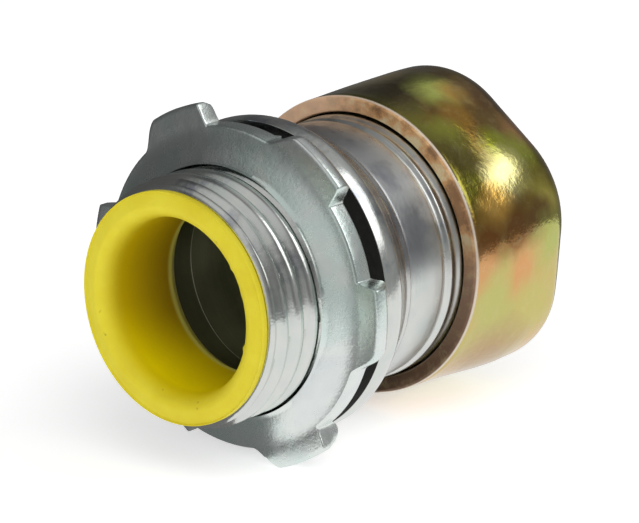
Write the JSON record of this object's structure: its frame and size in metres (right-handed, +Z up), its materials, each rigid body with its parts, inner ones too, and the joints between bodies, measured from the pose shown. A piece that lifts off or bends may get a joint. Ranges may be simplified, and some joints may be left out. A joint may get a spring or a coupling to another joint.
{
  "type": "conduit compression fitting",
  "caption": "Steel connector that joins thin-wall conduit to a box: threaded insulated throat with locknut and gasket at one end, hexagonal compression nut at the other.",
  "frame": {"origin": "on the fitting's axis at the middle of its length, which is the centre of the bounding box", "axes": "+Y runs along the axis from the throat that enters the box to the nut that takes the conduit, +Z is up with the fitting lying on its side, +X completes the right-handed frame"},
  "size_m": [0.0302, 0.0364, 0.0287],
  "materials": {
    "zinc_plate": "bright zinc plate with fine turning marks",
    "locknut_zinc": "bluish zinc plate on stamped steel",
    "gold_dichromate": "glossy yellow dichromate over zinc, iridescent",
    "ring_steel": "satin plated steel",
    "yellow_nylon": "satin moulded nylon",
    "white_nylon": "satin moulded nylon",
    "black_rubber": "matt"
  },
  "bodies": {
    "fitting": {"connector_body": "zinc_plate", "insulated_throat": "yellow_nylon"},
    "gasket": {"box_gasket": "black_rubber"},
    "locknut": {"locknut": "locknut_zinc"},
    "gland_rings": {"compression_ring": "ring_steel", "sealing_ring": "white_nylon"},
    "nut": {"compression_nut": "gold_dichromate"}
  },
  "joints": [
    {"name": "locknut_travel", "type": "slide", "parent": "fitting", "child": "gasket", "axis": [0, -1, 0], "range_m": [0, 0.01089]},
    {"name": "locknut_turn", "type": "hinge", "parent": "gasket", "child": "locknut", "pos_m": [0, 0, 0], "axis": [0, -1, 0], "range_deg": [0, 2160]},
    {"name": "nut_travel", "type": "slide", "parent": "fitting", "child": "gland_rings", "axis": [0, 1, 0], "range_m": [-0.0015, 0.0075]},
    {"name": "nut_turn", "type": "hinge", "parent": "gland_rings", "child": "nut", "pos_m": [0, 0, 0], "axis": [0, 1, 0], "range_deg": [-360, 1800]}
  ],
  "couplings": [
    {"joint": "locknut_travel", "follows": "locknut_turn", "m_per_rad": 0.00028876},
    {"joint": "nut_travel", "follows": "nut_turn", "m_per_rad": 0.00023873}
  ]
}
